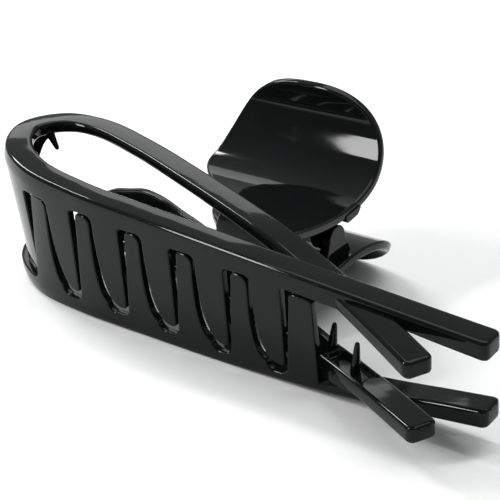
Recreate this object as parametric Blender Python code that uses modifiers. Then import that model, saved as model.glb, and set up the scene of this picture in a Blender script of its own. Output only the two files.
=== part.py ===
"""A black plastic hair clip: two long interlocking jaws, each one moulding, turning on one hinge pin.

The clip is drawn closed in its own frame, in millimetres: X runs along the clip from the round head to
the four blunt tail ends, Y runs from the toothed front wall back to the thumb pads, and Z is up from the
plane between the two jaws. The lower jaw is the upper one turned over in Z, with its own teeth and spikes.
The last step lays the closed clip down as it rests on a table: on two places of the lower front bar and on
the lower thumb pad.
"""
import math

import bmesh
import bpy
import numpy as np
from mathutils import Matrix, Vector

MM = 0.001

# The ring that each jaw carries, seen from above: its centre line from the long tail's end, along the
# straight front bar, round the head and back along the far rail to the short tail's end.
RING_KNOTS = [
    (111.7, -15.9), (100.0, -16.0), (80.0, -16.0), (60.0, -16.0), (42.0, -15.9), (26.0, -15.6),
    (12.6, -13.3), (3.2, -7.5), (0.0, -0.8), (3.5, 5.2), (11.5, 7.1), (24.0, 5.0), (40.7, 0.2),
    (60.3, -6.2), (78.4, -12.9), (90.0, -18.4), (105.5, -26.6),
]
UPPER_SHORT_END = 104.8  # the upper short tail is a little shorter than the lower one
LOWER_SHORT_END = 105.5
STATION_LENGTH = 6.5     # a sweep's stations are this far apart where it is straight
STATION_TURN = 11.0      # and turn by this many degrees where it bends
WALL_STATION = 5.0       # the same two steps for the walls
WALL_TURN = 12.0
WALL_ROWS = 3
BRIDGE_STATIONS = 9
RAIL_WIDTH = 5.2
RAIL_CORNER = 0.7
ROOT_DEPTH = 1.25        # the walls, the bridge and the pad begin this far below the ring's outer face

# The upper ring's outer face falls evenly from the head to the tails, and the far rail dips a little more
# to pass under the front bar. The lower ring bulges under the front bar: depth of its outer face along X.
HEAD_TOP = 15.3
TAPER = 0.0677
SHORT_TAIL_DROP = 1.1
DROP_START = 62.0
DROP_LENGTH = 22.0
LOWER_FRONT = [(-3.0, 13.16), (0.0, 13.15), (12.0, 13.0), (20.0, 12.7), (30.0, 12.45), (42.0, 12.45),
               (59.4, 12.3), (70.0, 11.9), (77.5, 11.5), (84.8, 10.95), (92.0, 10.15), (100.0, 9.2),
               (112.5, 7.7)]
LOWER_HEAD = 13.15
LOWER_TAPER = 0.0573

# Thickness of the ring, by mark: minus X along the front bar and X along the far rail.
UPPER_THICK = [(-112.0, 3.4), (-103.0, 3.2), (-95.0, 2.9), (-87.0, 2.65), (-78.0, 2.5), (3.0, 2.5),
               (9.0, 2.1), (44.0, 2.1), (60.0, 2.5), (84.0, 2.5), (94.0, 2.75), (106.0, 3.0)]
LOWER_THICK = [(-112.0, 3.4), (-103.0, 3.2), (-95.0, 2.9), (-85.5, 2.6), (-79.0, 1.7), (-75.5, 1.5),
               (-66.0, 1.6), (-60.0, 2.1), (-52.0, 2.5), (84.0, 2.5), (94.0, 2.75), (106.0, 3.0)]

# A web fills the corner between the two tails. The lower one is deeper, and ties the front bar to the far
# rail.
WEB = [(85.0, -18.0), (86.0, -16.0), (95.0, -17.0), (96.5, -19.0), (98.8, -21.0), (94.0, -21.0)]
WEB_TOP = 0.25           # below the outer face of the short tail
WEB_THICK = 2.0
LOWER_WEB = [(81.5, -17.9), (82.5, -14.6), (95.0, -17.0), (96.5, -19.0), (98.8, -21.0), (94.0, -21.0)]
LOWER_WEB_TOP = -0.65
LOWER_WEB_THICK = 2.0

# The front wall: its thickness, how far its outer face lies inside the rail's edge, and round the head how
# far its outer face swells just below the top and leans in for each millimetre further down.
WALL_THICK = 1.5
WALL_INSET = 0.12
SWELL_DEPTH = 2.5
UPPER_SWELL = 0.6
UPPER_DRAFT = 0.09
LOWER_SWELL = 0.4
LOWER_DRAFT = 0.055
HEAD_END = 26.0          # X where the swelling has died out on the front bar
HEAD_FADE = 10.0         # and on the far rail

# The teeth. Each number is the X of an upper tooth's straight edge.
TOOTH_X = [12.7, 25.7, 37.6, 49.5, 61.4, 73.4]
TOOTH_WIDTH = 6.2        # width of an upper tooth at its root
TOOTH_POWER = 2.4        # roundness of its curved edge, as a superellipse's power
TOOTH_STEPS = 13         # pieces that the curved edge is drawn with
TOOTH_TIP_RADIUS = 1.0
TOOTH_TIP_Z = [-7.9, -7.9, -7.9, -8.1, -8.3, -8.5]
SLOT_BELOW_TOP = 3.5     # from the upper ring's outer face to the slots between the upper teeth
FIRST_SLOT_LOWER = 0.8   # the slot nearest the head starts this much lower
LOWER_BELOW_TOP = 3.9    # from the upper ring's outer face to the tops of the lower teeth
LOWER_CORNER = 1.6
LOWER_CORNER_LEFT = 0.9
SLOT_CORNER = 0.8
SLOT_ROOT_CORNER = 1.4
FLOOR_Z = [-9.3, -9.3, -9.3, -9.65, -9.95, -10.1]  # floors of the pockets that the upper teeth hang into
FLOOR_CORNER = 1.2
FLOOR_ROUND = 1.7        # the same corner below a tooth's curved edge
GAP_AT_ROOT = 0.35       # clearance along a tooth's curved edge: at its root, and how it grows to the tip
GAP_GROWTH = 1.75
GAP_POWER = 1.5
STRAIGHT_GAP_LOW = 0.35  # clearance along its straight edge, at its tip and at its root
STRAIGHT_GAP_HIGH = 1.7
CUT_FRONT_Y = -24.0      # the cutters of the teeth reach from here
CUT_BACK_Y = -9.0
CUT_FAR_Z = 20.0
UPPER_WALL_END = 86.0
LOWER_WALL_END = 80.3
LOWER_END_LEAN = 1.2

# A thumb pad's outer face, as the upper jaw has it: the length of each stretch from the rail back to the
# rim, and the slope in degrees that it ends with. The lower pad is a little flatter and shorter.
PAD_PROFILE = [(12.0, -15.0), (12.2, -4.0), (8.1, 18.0), (8.2, 50.0), (8.1, 92.0), (3.6, 112.0)]
LOWER_PAD_PROFILE = [(12.0, -10.0), (12.2, -4.0), (8.1, 14.0), (8.2, 40.0), (8.1, 74.0), (3.6, 90.0)]
PAD_START_Y = -11.5
PAD_VALLEY_Z = 5.6       # the height of its outer face where it is closest to the other pad
PAD_THICK = 1.8
PAD_RIM_BEVEL = 0.5
PAD_CENTRE_X = 48.0
PAD_HALF_RIGHT = 17.9
PAD_HALF_LEFT = 18.9
LOWER_PAD_HALF_RIGHT = 18.8
PAD_MIDDLE = 31.5        # profile length at the pad's widest line
PAD_HALF_LENGTH = 19.5
LOWER_PAD_HALF_LENGTH = 18.0
PAD_SQUARENESS = 0.41
PAD_NECK = (49.6, 66.6)  # where the pad leaves the bridge, and how far that is from the ring's centre line
PAD_NECK_OUT = 1.3
PAD_COLUMNS = 14
PAD_ROWS = 20

# The bridge under the upper far rail: heights of its free edge along X, in the upper jaw.
BRIDGE_EDGE = [(48.9, 2.6), (51.0, 2.2), (58.0, 2.5), (63.0, 4.2), (67.5, 6.6)]
BRIDGE_SLANT = 0.56      # lean of its left end, for each millimetre of depth

# Free edges of the two walls along the ring: minus X along the front, X along the far rail, then height.
UPPER_EDGE = [(-86.0, -9.6), (-13.8, -9.6), (-12.0, -8.1), (-8.0, -8.2), (-3.2, -7.6), (-1.6, -5.6),
              (-0.7, -1.0), (-0.2, 3.0), (0.2, 6.5), (0.8, 9.4), (1.8, 11.2), (3.6, 12.8)]
LOWER_EDGE = [(-81.0, 6.0), (-23.0, 9.85), (-21.5, 9.1), (-13.5, 9.6), (-11.0, -9.5), (1.0, -9.5),
              (4.2, -8.6), (6.4, -5.8), (8.4, -2.4), (11.0, -1.0), (14.1, -0.1), (19.8, 1.6), (23.1, 1.9),
              (26.9, 1.8), (32.2, 1.1), (38.4, 0.6), (50.0, -1.6), (62.0, -4.0), (71.6, -5.65),
              (75.4, -6.0), (77.8, -6.4)]

# The hinge, whose axis runs along X.
HINGE_Y = 11.5
HINGE_Z = 0.0
PIN_RADIUS = 1.0
PIN_CLEARANCE = 0.3
PIN_REACH = 12.4         # from the hinge's centre to the pin's end
HOLE_REACH = 12.7        # the hole in the lower lugs is blind
LUG_RADIUS = 2.6
LUG_THICK = 2.0
LUG_FOOT = 9.0
HINGE_CENTRE_X = 51.5
LOWER_LUG_INNER = 11.1   # from the hinge's centre to a lug's inner face
UPPER_LUG_INNER = 8.7
EAR_X = 64.95
EAR_THICK = 1.3
EAR_FRONT_Y = 12.3
EAR_BACK_Y = 18.0
EAR_LOW_Z = 2.9

# Spikes that grip the hair: foot and tip.
LOWER_SPIKES = [((78.9, -12.4, -7.4), (79.2, -11.4, -1.7)), ((86.2, -16.4, -7.6), (86.7, -15.9, -0.9))]
HEAD_SPIKE = ((1.6, 2.2, 13.0), (4.2, 1.6, 9.4))
SPIKE_RADIUS = 1.0
SPIKE_TIP_RADIUS = 0.42

# The hollow on the inner side of the far rail, where it runs out into the short tail.
HOLLOW_DEPTH = 1.0
HOLLOW_RIM = 0.85
HOLLOW_ENDS = (80.0, 90.2)

# How the closed clip lies on a table: turned about X, then about Y, then lifted and centred.
REST_TURN_X = math.radians(5.769)
REST_TURN_Y = math.radians(0.458)
REST_SHIFT = (-54.375, -3.178, 14.549)

PLASTIC_COLOUR = (0.010, 0.011, 0.011, 1.0)
STEEL_COLOUR = (0.45, 0.45, 0.46, 1.0)


def clear_scene():
    for item in list(bpy.data.objects):
        bpy.data.objects.remove(item, do_unlink=True)


def make_collection(name, helper):
    collection = bpy.data.collections.new(name)
    bpy.context.scene.collection.children.link(collection)
    collection.hide_render = helper
    return collection


def make_material(name, colour, roughness, metallic):
    material = bpy.data.materials.new(name)
    material.use_nodes = True
    shader = material.node_tree.nodes["Principled BSDF"]
    shader.inputs["Base Color"].default_value = colour
    shader.inputs["Roughness"].default_value = roughness
    shader.inputs["Metallic"].default_value = metallic
    return material


def smooth_path(knots, per_span=16):
    """Centripetal Catmull-Rom curve through the knots, as an array of points."""
    knots = np.asarray(knots, float)
    ends = np.vstack([2 * knots[0] - knots[1], knots, 2 * knots[-1] - knots[-2]])
    spans = []
    for first in range(len(ends) - 3):
        p = ends[first:first + 4]
        t = np.concatenate([[0.0], np.cumsum(np.sqrt(np.linalg.norm(np.diff(p, axis=0), axis=1)))])
        s = np.linspace(t[1], t[2], per_span, endpoint=False)[:, None]
        a = [(t[i + 1] - s) / (t[i + 1] - t[i]) * p[i] + (s - t[i]) / (t[i + 1] - t[i]) * p[i + 1]
             for i in range(3)]
        b = [(t[i + 2] - s) / (t[i + 2] - t[i]) * a[i] + (s - t[i]) / (t[i + 2] - t[i]) * a[i + 1]
             for i in range(2)]
        spans.append((t[2] - s) / (t[2] - t[1]) * b[0] + (s - t[1]) / (t[2] - t[1]) * b[1])
    return np.vstack(spans + [knots[-1:]])


RING = smooth_path(RING_KNOTS)
HEAD_INDEX = int(np.argmin(RING[:, 0]))
RING_SIDE = np.where(np.arange(len(RING)) <= HEAD_INDEX, -1.0, 1.0)
RING_MARK = (RING[:, 0] - RING[HEAD_INDEX, 0]) * RING_SIDE
RING_MARK[:HEAD_INDEX + 1] = np.minimum(RING_MARK[:HEAD_INDEX + 1], 0.0)


def directions(points):
    along = np.gradient(points, axis=0)
    return along / np.linalg.norm(along, axis=1)[:, None]


def stations(start_mark, end_mark, length, turn):
    """Marks along the ring between two marks, closer together where it bends."""
    inside = (RING_MARK > start_mark) & (RING_MARK < end_mark)
    marks = np.concatenate([[start_mark], RING_MARK[inside], [end_mark]])
    points = ring_at(marks)
    along = directions(points)
    steps = np.linalg.norm(np.diff(points, axis=0), axis=1)
    turns = np.degrees(np.arccos(np.clip((along[1:] * along[:-1]).sum(axis=1), -1.0, 1.0)))
    weight = np.concatenate([[0.0], np.cumsum(steps / length + turns / turn)])
    count = int(math.ceil(weight[-1]))
    return np.interp(np.linspace(0.0, weight[-1], count + 1), weight, marks)


def ring_at(marks):
    """Centre line points at marks: a mark is minus X along the front bar, and X along the far rail."""
    return np.stack([np.interp(marks, RING_MARK, RING[:, axis]) for axis in range(2)], axis=1)


def ring_normals(marks):
    """Unit normals there that point out of the loop."""
    step = 0.05
    along = ring_at(marks + step) - ring_at(marks - step)
    along /= np.linalg.norm(along, axis=1)[:, None]
    return np.stack([along[:, 1], -along[:, 0]], axis=1) * -1.0


def smoothstep(share):
    share = np.clip(share, 0.0, 1.0)
    return share * share * (3 - 2 * share)


def ring_top(x):
    """Height of the upper ring's outer face on the front bar."""
    return HEAD_TOP - TAPER * np.asarray(x, float)


def outer_face(marks, upper):
    """Height of a ring's outer face at marks. The lower ring's is given as a depth."""
    marks = np.asarray(marks, float)
    x = ring_at(marks)[:, 0]
    if upper:
        return ring_top(x) - SHORT_TAIL_DROP * smoothstep((marks - DROP_START) / DROP_LENGTH)
    bulge = smooth_path(LOWER_FRONT)
    return np.where(marks < 0, np.interp(x, bulge[:, 0], bulge[:, 1]), LOWER_HEAD - LOWER_TAPER * x)


def thickness(marks, upper):
    table = UPPER_THICK if upper else LOWER_THICK
    return np.interp(marks, [mark for mark, _ in table], [thick for _, thick in table])


def head_swell(marks, depth, upper):
    """How far the outer side swells at a depth below the outer face, round the head only."""
    x = ring_at(marks)[:, 0]
    near = np.clip(1.0 - x / HEAD_END, 0.0, 1.0) * (1.0 - smoothstep(np.asarray(marks) / HEAD_FADE))
    swell = UPPER_SWELL if upper else LOWER_SWELL
    draft = UPPER_DRAFT if upper else LOWER_DRAFT
    below = np.clip(depth - SWELL_DEPTH, 0.0, None)
    return near * (swell * smoothstep(depth / SWELL_DEPTH) - draft * below)


def link(name, mesh, collection):
    item = bpy.data.objects.new(name, mesh)
    collection.objects.link(item)
    return item


def mesh_from(item, name, collection):
    """The evaluated object as a plain mesh object. The original is removed."""
    bpy.context.view_layer.update()
    graph = bpy.context.evaluated_depsgraph_get()
    mesh = bpy.data.meshes.new_from_object(item.evaluated_get(graph))
    body = bmesh.new()
    body.from_mesh(mesh)
    bmesh.ops.remove_doubles(body, verts=body.verts, dist=0.00001)
    bmesh.ops.recalc_face_normals(body, faces=body.faces)
    body.to_mesh(mesh)
    body.free()
    solid = link(name, mesh, collection)
    mesh.transform(item.matrix_world)
    bpy.data.objects.remove(item, do_unlink=True)
    return solid


def poly_curve(name, outline, collection, cyclic=True):
    curve = bpy.data.curves.new(name, "CURVE")
    spline = curve.splines.new("POLY")
    spline.points.add(len(outline) - 1)
    for point, place in zip(spline.points, outline):
        x, y, z = (tuple(place) + (0.0,))[:3]
        point.co = (x * MM, y * MM, z * MM, 1.0)
    spline.use_cyclic_u = cyclic
    return link(name, curve, collection)


def prism(name, outline, low, high, plane, collection):
    """A flat outline, drawn in the XY, XZ or YZ plane, extruded from low to high across that plane."""
    item = poly_curve(name + "_outline", outline, collection)
    item.data.dimensions = "2D"
    item.data.fill_mode = "BOTH"
    item.data.extrude = (high - low) / 2 * MM
    middle = (low + high) / 2 * MM
    if plane == "XY":
        item.matrix_world = Matrix.Translation((0, 0, middle))
    elif plane == "XZ":
        item.matrix_world = Matrix.Translation((0, middle, 0)) @ Matrix.Rotation(math.pi / 2, 4, "X")
    else:
        rows = ((0, 0, 1, middle), (1, 0, 0, 0), (0, 1, 0, 0), (0, 0, 0, 1))
        item.matrix_world = Matrix(rows)
    return mesh_from(item, name, collection)


def sheet(name, columns, rows, place, thick, collection):
    """A grid whose points place(i, j) sets, made solid evenly to both sides."""
    mesh = bpy.data.meshes.new(name)
    body = bmesh.new()
    bmesh.ops.create_grid(body, x_segments=columns, y_segments=rows, size=1.0)
    for vertex in body.verts:
        i = int(round((vertex.co.x + 1) / 2 * columns))
        j = int(round((vertex.co.y + 1) / 2 * rows))
        vertex.co = Vector(place(i, j)) * MM
    body.to_mesh(mesh)
    body.free()
    item = link(name + "_sheet", mesh, collection)
    solidify = item.modifiers.new("thickness", "SOLIDIFY")
    solidify.thickness = thick * MM
    solidify.offset = 0.0
    solidify.use_even_offset = True
    item.modifiers.new("flat_faces", "TRIANGULATE")
    return mesh_from(item, name, collection)


def tube(name, columns, rows, place, collection):
    """A grid rolled up, so that its first and last columns meet, with both ends filled."""
    mesh = bpy.data.meshes.new(name)
    body = bmesh.new()
    bmesh.ops.create_grid(body, x_segments=columns, y_segments=rows, size=1.0)
    for vertex in body.verts:
        i = int(round((vertex.co.x + 1) / 2 * columns))
        j = int(round((vertex.co.y + 1) / 2 * rows))
        vertex.co = Vector(place(i % columns, j)) * MM
    bmesh.ops.remove_doubles(body, verts=body.verts, dist=0.00001)
    bmesh.ops.holes_fill(body, edges=[edge for edge in body.edges if edge.is_boundary])
    bmesh.ops.recalc_face_normals(body, faces=body.faces)
    body.to_mesh(mesh)
    body.free()
    return link(name, mesh, collection)


def spike(name, ends, collection):
    """A blunt cone from its foot to its tip."""
    foot = Vector(ends[0])
    tip = Vector(ends[1])
    mesh = bpy.data.meshes.new(name)
    body = bmesh.new()
    bmesh.ops.create_cone(body, cap_ends=True, segments=10, radius1=SPIKE_RADIUS * MM,
                          radius2=SPIKE_TIP_RADIUS * MM, depth=(tip - foot).length * MM)
    body.to_mesh(mesh)
    body.free()
    turn = (tip - foot).to_track_quat("Z", "Y").to_matrix().to_4x4()
    mesh.transform(Matrix.Translation((foot + tip) / 2 * MM) @ turn)
    return link(name, mesh, collection)


def rod(name, radius, start_x, end_x, collection):
    """A cylinder along the hinge axis."""
    mesh = bpy.data.meshes.new(name)
    body = bmesh.new()
    bmesh.ops.create_cone(body, cap_ends=True, segments=20, radius1=radius * MM, radius2=radius * MM,
                          depth=(end_x - start_x) * MM)
    body.to_mesh(mesh)
    body.free()
    mesh.transform(Matrix.Rotation(math.pi / 2, 4, "Y"))
    item = link(name, mesh, collection)
    item.location = Vector(((start_x + end_x) / 2, HINGE_Y, HINGE_Z)) * MM
    return item


def turn_over(item):
    """Mirrors a piece drawn for the upper jaw in the plane between the jaws."""
    item.data.transform(Matrix.Scale(-1.0, 4, (0, 0, 1)))
    item.data.flip_normals()
    return item


def boolean(item, operation, collection):
    modifier = item.modifiers.new(collection.name, "BOOLEAN")
    modifier.operation = operation
    modifier.operand_type = "COLLECTION"
    modifier.collection = collection
    modifier.solver = "EXACT"
    modifier.use_self = True
    return modifier


def arc(centre_x, centre_y, radius, start, end, count=4):
    """Points on an arc between two angles in degrees."""
    angles = np.radians(np.linspace(start, end, count + 1))
    return [(centre_x + radius * math.cos(a), centre_y + radius * math.sin(a)) for a in angles]


def rail(name, upper, collection):
    """The ring of rounded rectangular section, from the long tail's end to the short tail's."""
    end = UPPER_SHORT_END if upper else LOWER_SHORT_END
    marks = stations(-RING_KNOTS[0][0], end, STATION_LENGTH, STATION_TURN)
    outer = outer_face(marks, upper)
    half_thick = thickness(marks, upper)[:, None] / 2 - RAIL_CORNER
    half_width = RAIL_WIDTH / 2 - RAIL_CORNER
    corners = [(1, 1, 0), (-1, 1, 90), (-1, -1, 180), (1, -1, 270)]
    round_corner = np.array([arc(0.0, 0.0, RAIL_CORNER, start, start + 90, 2) for _, _, start in corners])
    side = np.repeat([(x, y) for x, y, _ in corners], round_corner.shape[1], axis=0)
    section = round_corner.reshape(-1, 2)
    up = section[:, 1] + side[:, 1] * half_thick
    down = (outer - thickness(marks, upper) / 2)[:, None] + up
    swell = np.stack([head_swell(marks, outer - height, upper) for height in down.T], axis=1)
    across = section[:, 0] + side[:, 0] * half_width + np.where(side[:, 0] > 0, swell, 0.0)
    centre = ring_at(marks)
    normal = ring_normals(marks)

    def place(i, j):
        flat = centre[j] + normal[j] * across[j, i]
        return (flat[0], flat[1], down[j, i])

    return tube(name, len(section), len(marks) - 1, place, collection)


def wall(name, marks, edge, slant, upper, collection):
    """A wall that hangs from the ring to the heights that edge lists. slant spreads its first end."""
    offset = RAIL_WIDTH / 2 - WALL_INSET - WALL_THICK / 2
    top = outer_face(marks, upper) - np.minimum(ROOT_DEPTH, thickness(marks, upper) / 2)
    low = np.minimum(np.interp(marks, [mark for mark, _ in edge], [z for _, z in edge]), top - 0.5)
    depth = (top - low)[:, None] * np.arange(WALL_ROWS + 1) / WALL_ROWS
    spread = slant * depth * np.linspace(1.0, 0.0, len(marks))[:, None]
    places = (marks[:, None] - spread).ravel()
    below = (outer_face(marks, upper) - top)[:, None] + depth
    out = offset + head_swell(places, below.ravel(), upper)
    flat = ring_at(places) + ring_normals(places) * out[:, None]
    grid = np.column_stack([flat, (top[:, None] - depth).ravel()]).reshape(len(marks), WALL_ROWS + 1, 3)

    def place(i, j):
        return tuple(grid[i, j])

    return sheet(name, len(marks) - 1, WALL_ROWS, place, WALL_THICK, collection)


def tooth_edge(straight_x, root_z, tip_z, grow):
    """The curved edge of the upper tooth whose straight edge is at straight_x, from its root to its tip.

    grow moves its root away from the tooth.
    """
    centre_x = straight_x - TOOTH_TIP_RADIUS
    half_width = TOOTH_WIDTH - TOOTH_TIP_RADIUS
    points = []
    for angle in np.radians(np.linspace(0.0, 90.0, TOOTH_STEPS + 1)):
        c = max(math.cos(angle), 0.0) ** (2 / TOOTH_POWER)
        s = max(math.sin(angle), 0.0) ** (2 / TOOTH_POWER)
        away = grow * (1 - s)
        points.append((centre_x - (half_width + away) * c, root_z - (root_z - tip_z + away) * s))
    return points


def upper_slot(k, collection):
    """The slot between the upper teeth k - 1 and k."""
    right = TOOTH_X[k]
    left = TOOTH_X[k - 1]
    tip_z = TOOTH_TIP_Z[k]
    root_z = float(ring_top((left + right) / 2)) - SLOT_BELOW_TOP - (FIRST_SLOT_LOWER if k == 1 else 0.0)
    outline = arc(left + SLOT_CORNER, root_z - SLOT_CORNER, SLOT_CORNER, 180, 90, 3)
    curve = tooth_edge(right, root_z, tip_z, 0.0)
    curve = [(x, z) for x, z in curve if z < root_z - SLOT_ROOT_CORNER]
    outline += arc(curve[0][0] - SLOT_ROOT_CORNER, root_z - SLOT_ROOT_CORNER, SLOT_ROOT_CORNER, 90, 0, 3)
    outline += curve
    outline += arc(right - TOOTH_TIP_RADIUS, tip_z + TOOTH_TIP_RADIUS, TOOTH_TIP_RADIUS, 270, 360, 3)[1:]
    outline += [(right + 0.6, tip_z + TOOTH_TIP_RADIUS), (right + 0.6, -CUT_FAR_Z), (left, -CUT_FAR_Z)]
    return prism(f"upper_slot_{k}", outline, CUT_FRONT_Y, CUT_BACK_Y, "XZ", collection)


def upper_open_end(collection):
    """Leaves only a low band of the upper wall beyond its last tooth."""
    left = TOOTH_X[-1]
    far = UPPER_WALL_END + 4.0
    start_z = float(ring_top(left)) - SLOT_BELOW_TOP
    outline = arc(left + SLOT_CORNER, start_z - SLOT_CORNER, SLOT_CORNER, 180, 90, 3)
    outline += [(far, float(ring_top(far)) - SLOT_BELOW_TOP), (far, -CUT_FAR_Z), (left, -CUT_FAR_Z)]
    return prism("upper_open_end", outline, CUT_FRONT_Y, CUT_BACK_Y, "XZ", collection)


def lower_pocket(k, collection):
    """The pocket in the lower wall that the upper tooth k hangs into."""
    straight = TOOTH_X[k]
    floor_z = FLOOR_Z[k]
    top_z = float(ring_top(straight - TOOTH_WIDTH)) - LOWER_BELOW_TOP - (FIRST_SLOT_LOWER if k == 1 else 0.0)
    root_z = float(ring_top(straight)) - SLOT_BELOW_TOP
    left = []
    for x, z in tooth_edge(straight, root_z, TOOTH_TIP_Z[k], GAP_AT_ROOT):
        share = max(root_z - z, 0.0) / (root_z - TOOTH_TIP_Z[k])
        if floor_z + FLOOR_ROUND < z < top_z - LOWER_CORNER:
            left.append((x - GAP_AT_ROOT - GAP_GROWTH * share ** GAP_POWER, z))
    first_x = left[0][0]
    outline = [(first_x - LOWER_CORNER, CUT_FAR_Z)]
    outline += arc(first_x - LOWER_CORNER, top_z - LOWER_CORNER, LOWER_CORNER, 90, 0, 4)
    outline += left[1:]
    low_x, low_z = outline[-1]
    corner = low_z - floor_z
    outline += arc(low_x + corner, low_z, corner, 180, 270, 4)[1:]
    low_right = straight + STRAIGHT_GAP_LOW
    outline += arc(low_right - FLOOR_CORNER, floor_z + FLOOR_CORNER, FLOOR_CORNER, 270, 360, 3)
    right_top = float(ring_top(straight + 2.0)) - LOWER_BELOW_TOP - (FIRST_SLOT_LOWER if k == 0 else 0.0)
    high_right = straight + STRAIGHT_GAP_HIGH
    turn_x = high_right + LOWER_CORNER_LEFT
    outline += arc(turn_x, right_top - LOWER_CORNER_LEFT, LOWER_CORNER_LEFT, 180, 90, 4)
    outline += [(turn_x, CUT_FAR_Z)]
    return prism(f"lower_pocket_{k}", outline, CUT_FRONT_Y, CUT_BACK_Y, "XZ", collection)


def lower_wall_end(collection):
    """Trims the lower wall's tail end to a lean."""
    bottom_z = -float(outer_face([-LOWER_WALL_END], False)[0]) + ROOT_DEPTH
    outline = [(LOWER_WALL_END - LOWER_END_LEAN, CUT_FAR_Z), (LOWER_WALL_END + 4.0, CUT_FAR_Z),
               (LOWER_WALL_END + 4.0, bottom_z), (LOWER_WALL_END, bottom_z)]
    return prism("lower_wall_trim", outline, CUT_FRONT_Y, CUT_BACK_Y, "XZ", collection)


def pad_profile(stretches):
    """The pad's outer face from the side: lengths, and the Y, Z and slope there."""
    step = 0.1
    lengths = [0.0]
    slopes = [math.radians(stretches[0][1])]
    for length, slope in stretches:
        count = int(round(length / step))
        last = slopes[-1]
        for i in range(1, count + 1):
            slopes.append(last + (math.radians(slope) - last) * i / count)
            lengths.append(lengths[-1] + step)
    slopes = np.array(slopes)
    middle = (slopes[1:] + slopes[:-1]) / 2
    y = PAD_START_Y + np.concatenate([[0.0], np.cumsum(np.cos(middle) * step)])
    z = np.concatenate([[0.0], np.cumsum(np.sin(middle) * step)])
    z += PAD_VALLEY_Z - z.min()
    return np.array(lengths), y, z, slopes


def pad(name, stretches, half_right, half_length, collection):
    """The thumb pad: a curved plate that narrows to a neck at the far rail."""
    lengths, profile_y, profile_z, slopes = pad_profile(stretches)

    def face(s):
        slope = np.interp(s, lengths, slopes)
        y = np.interp(s, lengths, profile_y) + math.sin(slope) * PAD_THICK / 2
        z = np.interp(s, lengths, profile_z) - math.cos(slope) * PAD_THICK / 2
        return float(y), float(z)

    def place(i, j):
        u = 2 * i / PAD_COLUMNS - 1
        v = 2 * j / PAD_ROWS - 1
        half_width = PAD_HALF_LEFT if u < 0 else half_right
        if v >= 0:
            x = PAD_CENTRE_X + half_width * u * math.sqrt(1 - PAD_SQUARENESS * v * v)
            s = PAD_MIDDLE + half_length * v * math.sqrt(1 - PAD_SQUARENESS * u * u)
        else:
            ease = v * v * (3 + 2 * v)
            neck_x = PAD_NECK[0] + (PAD_NECK[1] - PAD_NECK[0]) * (u + 1) / 2
            x = (PAD_CENTRE_X + half_width * u) * (1 - ease) + neck_x * ease
            rail_y = float(np.interp(x, RING[HEAD_INDEX:, 0], RING[HEAD_INDEX:, 1])) + PAD_NECK_OUT
            start = float(np.interp(rail_y, profile_y, lengths))
            s = PAD_MIDDLE + (start - PAD_MIDDLE) * -v
        y, z = face(s)
        return (x, y, z)

    solid = sheet(name, PAD_COLUMNS, PAD_ROWS, place, PAD_THICK, collection)
    bevel = solid.modifiers.new("rim", "BEVEL")
    bevel.width = PAD_RIM_BEVEL * MM
    bevel.segments = 2
    bevel.limit_method = "ANGLE"
    bevel.angle_limit = math.radians(60)
    return solid


def lug(name, inner, side, collection):
    """An arm from the pad down to the hinge, with a round end."""
    foot_z = PAD_VALLEY_Z - PAD_THICK / 2
    outline = arc(HINGE_Y, HINGE_Z, LUG_RADIUS, 180, 360, 10)
    outline += [(HINGE_Y + LUG_FOOT / 2, foot_z + 0.25), (HINGE_Y - LUG_FOOT / 2, foot_z + 0.25)]
    low, high = sorted([HINGE_CENTRE_X + side * inner, HINGE_CENTRE_X + side * (inner + LUG_THICK)])
    return prism(name, outline, low, high, "YZ", collection)


def ear(name, collection):
    """A small tab beside the right lugs, below the pad's edge."""
    foot_z = PAD_VALLEY_Z - PAD_THICK / 2
    outline = [(EAR_FRONT_Y, foot_z), (EAR_FRONT_Y, EAR_LOW_Z + 1.0), (EAR_FRONT_Y + 1.0, EAR_LOW_Z),
               (EAR_BACK_Y - 2.0, EAR_LOW_Z + 0.4), (EAR_BACK_Y, foot_z + 0.4)]
    return prism(name, outline, EAR_X, EAR_X + EAR_THICK, "YZ", collection)


def sloped(item, taper):
    """Tilts a flat piece along X to follow the ring's fall."""
    slope = Matrix.Identity(4)
    slope[2][0] = -taper
    item.data.transform(slope)
    return item


def hollow(name, upper, collection):
    """A shallow trough along the far rail's inner face, rounded at its root."""
    half = RAIL_WIDTH / 2 - HOLLOW_RIM
    a, b = ring_at(np.array(HOLLOW_ENDS))
    along = (b - a) / np.linalg.norm(b - a)
    across = np.array([-along[1], along[0]])
    heading = math.degrees(math.atan2(along[1], along[0]))
    outline = arc(a[0], a[1], half, heading + 90, heading + 270, 6)
    outline += [tuple(b - across * half), tuple(b + across * half)]
    middle = np.array([sum(HOLLOW_ENDS) / 2])
    taper = TAPER if upper else LOWER_TAPER
    inner = float((outer_face(middle, upper) - thickness(middle, upper) + taper * middle)[0])
    return sloped(prism(name, outline, inner - 1.0, inner + HOLLOW_DEPTH, "XY", collection), taper)


def web(name, upper, collection):
    """The plate in the corner between the two tails."""
    if upper:
        high = HEAD_TOP - SHORT_TAIL_DROP - WEB_TOP
        return sloped(prism(name, WEB, high - WEB_THICK, high, "XY", collection), TAPER)
    high = LOWER_HEAD - LOWER_WEB_TOP
    return sloped(prism(name, LOWER_WEB, high - LOWER_WEB_THICK, high, "XY", collection), LOWER_TAPER)


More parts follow.
